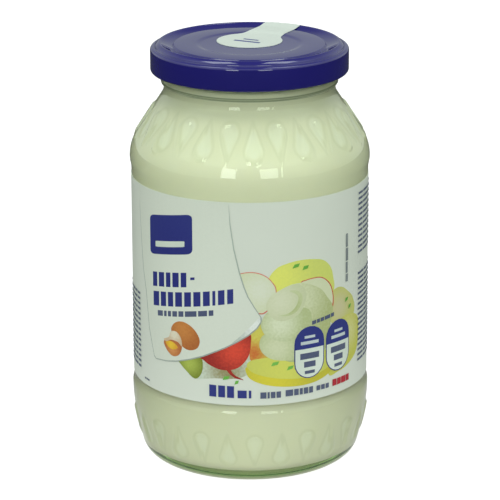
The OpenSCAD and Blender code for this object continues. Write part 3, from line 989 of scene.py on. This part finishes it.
printed("broken_half", 10, ink("ink_brown", (206, 140, 84), (176, 104, 58), (-28, 16.5), 4), [
    rounded([(-31.9, 18.4), (-30.6, 16), (-28, 14.3), (-25.4, 15), (-24, 17.4), (-24.2, 20),
             (-27, 20.5), (-30, 20)])])
patch("egg_white", 11, (220, 212, 190), (200, 176, 146), (-27, 22), 4, [
    (-31.8, 19.4), (-29.5, 20.6), (-28.4, 22.8), (-26, 23), (-24.2, 21), (-23.9, 18.4), (-25.6, 19.6),
    (-28.5, 19.8), (-30.6, 18.8)])
patch("yolk", 11, (228, 190, 60), (214, 158, 50), (-28.5, 18.2), 3, [
    (-31, 18.5), (-29.5, 17), (-27.5, 16.6), (-25.6, 17.6), (-27, 18.9), (-29, 19.3)])


# ---- Label print: rows and panels -----------------------------------------------------------
# The rest of the printing: two capsules in navy and white, chopped chives, and blocks in the places
# of the quantity, the words along the foot, and the columns at both sides.
def stadium(u0, u1, v0, v1, steps=10):
    """An upright capsule between those sides and ends."""
    half, middle = (u1 - u0) / 2, (u0 + u1) / 2
    return arc((middle, v1 - half), half, 0, 180, steps) + arc((middle, v0 + half), half, 180, 360, steps)


def bar(middle, half, low, high):
    """A plain bar about a middle line."""
    return [(middle - half, low), (middle + half, low), (middle + half, high), (middle - half, high)]


CAPSULES = [(14.8, 26.2, 7.9, 26.0, 18.3), (27.0, 38.5, 7.9, 25.9, 18.1)]
CAPSULE_LINE = 0.35
shields, faces_white, cap_bars, face_bars = [], [], [], []
for left, right, foot, head, split in CAPSULES:
    half, middle = (right - left) / 2 - CAPSULE_LINE, (left + right) / 2
    shields.append(stadium(left, right, foot, head))
    faces_white.append(arc((middle, foot + half + CAPSULE_LINE), half, 180, 360, 14)
                       + [(middle + half, split), (middle - half, split)])
    cap_bars += [bar(middle, 2, split + 3.6, split + 4.5), bar(middle, 3.4, split + 1.5, split + 2.6)]
    for low, high, wide in ((6.8, 8.9, 3.6), (3.9, 5.9, 2.2), (1.6, 2.7, 1.9)):
        face_bars.append(bar(middle, wide, foot + low, foot + high))
printed("capsules", 11, navy, shields)
printed("capsule_faces", 12, ink(
    "ink_capsule_face", (218, 226, 216), (208, 217, 206), (27, 12), 12), faces_white)
printed("capsule_cap_bars", 12, ink(
    "ink_cap_bars", (196, 206, 206), (186, 196, 200), (27, 21), 12), cap_bars)
printed("capsule_face_bars", 13, grey_ink, face_bars)
printed("energy_bar", 11, grey_ink, block_row(
    (21.3, 26.3), (1.6, 1.2, 1.4, 2.4, 1.4), 1.3, 0.3, math.radians(8)))
CHIVES = [(-8, 9.4, 2.4), (-4.5, 8, 1.5), (8.2, 14.3, 2.8), (13.4, 12.4, 2.4), (15.4, 47.4, 2.6),
          (18.8, 46.4, 2.4), (37, 31.7, 1.8), (38.9, 28.9, 1.5)]
chive_outlines = []
for u, v, wide in CHIVES:
    half = wide / 2
    chive_outlines.append([
        (u - half, v - 0.7), (u + half * 0.6, v - 0.3), (u + half, v + 0.8), (u - half * 0.5, v + 0.6)])
printed("chives", 10, ink(
    "ink_chives", (120, 186, 84), (92, 160, 62), (5, 25), 40), chive_outlines)
printed("quantity", 9, navy,
        block_row((-13.8, 2.6), (2.4, 2.3, 2.3), 4.1, 0.7, 0)
        + block_row((-4.2, 2.6), (3, 0.8), 2.7, 0.7, 0))
printed("foot_words", 9, grey_ink,
        block_row((3.3, 2.4), (2, 0.7, 1.5, 1.5), 2.2, 0.4, 0)
        + block_row((11.8, 2.6), (2.6, 1.6, 1.1, 1.6, 1.5), 2.2, 0.4, 0)
        + block_row((23.2, 2.9), (1.5, 1.5, 1.4), 1.7, 0.4, 0))
printed("foot_red", 9, ink("ink_foot_red", (178, 48, 58), (168, 40, 52), (34, 4), 6),
        block_row((30.1, 2.9), (1.9, 1.8, 2.3, 1.7), 2.3, 0.3, 0))
side_rows = []
for k in range(12):
    side_rows += block_row((44.7, 45.7 + 1.85 * k), (3.5, 6, 2.4, 7, 4.5 + k % 3), 0.8, 0.8, 0)
for k in range(18):
    side_rows += block_row((44.9, 7.6 + 1.8 * k), (5, 2.8, 6.2, 3.4, 5 + k % 4), 0.8, 0.8, 0)
for k in range(15):
    side_rows += block_row((-76, 5 + 1.85 * k), (4 + k % 3, 6.5, 3, 5.6, 4 - k % 3, 2.2), 0.8, 0.8, 0)
printed("side_rows", 9, grey_ink, side_rows)
upright = [[(36.6 + h, v), (36.6 + h, v + w), (36.6 - 0.1, v + w), (36.6 - 0.1, v)]
           for h, v, w in ((1.1, 38, 2.6), (0.9, 41, 3.8), (1.1, 45.2, 4.4), (0.9, 50, 4.6))]
printed("upright_words", 9, ink(
    "ink_upright", (120, 128, 130), (138, 146, 146), (37, 46), 14), upright)
printed("tiny_mark", 9, grey_ink, block_row((-43.5, 2), (0.9, 0.7, 0.9), 0.6, 0.3, 0))


# ---- Seal sticker ---------------------------------------------------------------------------
# A tamper seal of thin matt paper: a round end stuck on the lid's button, and a strap that runs over
# the raised ring, down past the skirt and on to the drops on the shoulder, where its end is glued.
SEAL_T = 0.14
SEAL_R = 11.0
SEAL_BACK = 4.5
STRAP_W = 12.8
STRAP_TURN = math.radians(63)
FLARE_R = 9.0
STRAP_FOOT = 6.0
SEAL_CLEAR = 0.07
CREST_CLEAR = 0.02
CREST_DIP = 0.1
MARKS_CLEAR = 0.01
SEAL_CUT = 0.4
SEAL_SIDE_CUT = 1.1

lean = math.radians(SHOULDER_LEAN)
strap_z = shoulder_top[1] + lean_rise(shoulder_top[0] + DROP_OUT / math.cos(lean) - lid_r)
over_lid = [(0, top_z - BUTTON_DROP), (button_foot, top_z - BUTTON_DROP)]
over_lid += [(BUTTON_R, top_z), (top_edge_r, top_z),
             (CREST_TOP_R - CREST_TIGHT, lid_high.z - SEAL_T - CREST_DIP)]
crest_turn = arc((CREST_TOP_R, lid_high.z - CREST_TIGHT), CREST_TIGHT, 110, 60, 4)
over_lid += [(r, z - SEAL_T) for r, z in crest_turn]
over_lid += [(r, z + CREST_CLEAR) for r, z in crest[TIGHT_STEPS + 1:]]
over_lid += arc(ledge_centre, CREST_ROUND, 80, 0, 9)
down_side = [(lid_r, ledge_centre[1]), (lid_r, strap_z),
             (lid_r + STRAP_FOOT * math.sin(lean), strap_z - STRAP_FOOT * math.cos(lean))]


def height_over_lid(radius):
    """The height of the paper's underside over the lid at that radius."""
    for (r0, z0), (r1, z1) in zip(over_lid, over_lid[1:]):
        if r0 <= radius <= r1 and r1 > r0:
            return z0 + (z1 - z0) * (radius - r0) / (r1 - r0)
    return over_lid[-1][1]


def down_strap(length):
    """The place and the outward direction after that length below the lid's edge."""
    for (r0, z0), (r1, z1) in zip(down_side, down_side[1:]):
        part = math.hypot(r1 - r0, z1 - z0)
        along = ((r1 - r0) / part, (z1 - z0) / part)
        if length <= part or (r1, z1) == down_side[-1]:
            return (r0 + along[0] * length, z0 + along[1] * length), (-along[1], along[0])
        length -= part
    return down_side[-1], (1, 0)


ahead = (math.cos(STRAP_TURN), math.sin(STRAP_TURN))
flare = (math.sqrt((SEAL_R + FLARE_R) ** 2 - (STRAP_W / 2 + FLARE_R) ** 2), STRAP_W / 2 + FLARE_R)
flare_turn = math.degrees(math.atan2(flare[1], flare[0]))
forward = SEAL_BACK * ahead[1]
edge_length = math.sqrt(lid_r ** 2 - (SEAL_BACK * ahead[0]) ** 2) - forward
strap_length = edge_length + (ledge_centre[1] - strap_z) + STRAP_FOOT
half_outline = (arc((0, 0), SEAL_R, 180, flare_turn, 24)
                + arc(flare, FLARE_R, 180 + flare_turn, 270, 8)[1:] + [(strap_length, STRAP_W / 2)])
seal_outline = half_outline + [(s, -t) for s, t in half_outline[::-1][:-1]]
sheet = flat_sheet([seal_outline], SEAL_T, SEAL_CUT, SEAL_SIDE_CUT)


def lay_seal(sheet, lift):
    """Drapes a flat sheet, s along the strap and t across it, over the lid and down its side."""
    for vertex in sheet.verts:
        s, t, thick = vertex.co
        x = s * ahead[0] - t * ahead[1]
        y = SEAL_BACK + s * ahead[1] + t * ahead[0]
        radius = math.hypot(x, y)
        if radius <= lid_r:
            vertex.co = (x * MM, y * MM, (height_over_lid(radius) + SEAL_CLEAR + lift + thick) * MM)
            continue
        beside_line = t + SEAL_BACK * ahead[0]
        edge = math.sqrt(lid_r ** 2 - beside_line ** 2) - forward
        ex, ey = edge * ahead[0] - t * ahead[1], SEAL_BACK + edge * ahead[1] + t * ahead[0]
        (r, z), (out_r, out_z) = down_strap(s - edge)
        reach = r + out_r * (SEAL_CLEAR + lift + thick)
        vertex.co = (ex / lid_r * reach * MM, ey / lid_r * reach * MM, (z + out_z * (lift + thick)) * MM)


lay_seal(sheet, 0)
seal_mesh = bpy.data.meshes.new("seal_paper")
sheet.to_mesh(seal_mesh)
sheet.free()
seal_mesh.shade_smooth()
seal_mesh.set_sharp_from_angle(angle=math.radians(50))
seal_mesh.materials.append(paper_material("seal_paper", (0.68, 0.73, 0.68, 1), (0.64, 0.69, 0.65, 1)))
seal = new_object("seal_paper", seal_mesh)
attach(seal, "root")
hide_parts("seal_sticker")

marks = flat_sheet([
    soft_corners([(-2.6, -4.8), (-1.2, -4.8), (-1.2, 4.8), (-2.6, 4.8)], 0.08),
    soft_corners([(0.6, -2.8), (1.7, -2.8), (1.7, 2.8), (0.6, 2.8)], 0.08)], INK_T, SEAL_CUT, SEAL_SIDE_CUT)
lay_seal(marks, SEAL_T + MARKS_CLEAR)
mark_mesh = bpy.data.meshes.new("seal_marks")
marks.to_mesh(mark_mesh)
marks.free()
mark_mesh.materials.append(navy)
seal_marks = new_object("seal_marks", mark_mesh)
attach(seal_marks, "root")
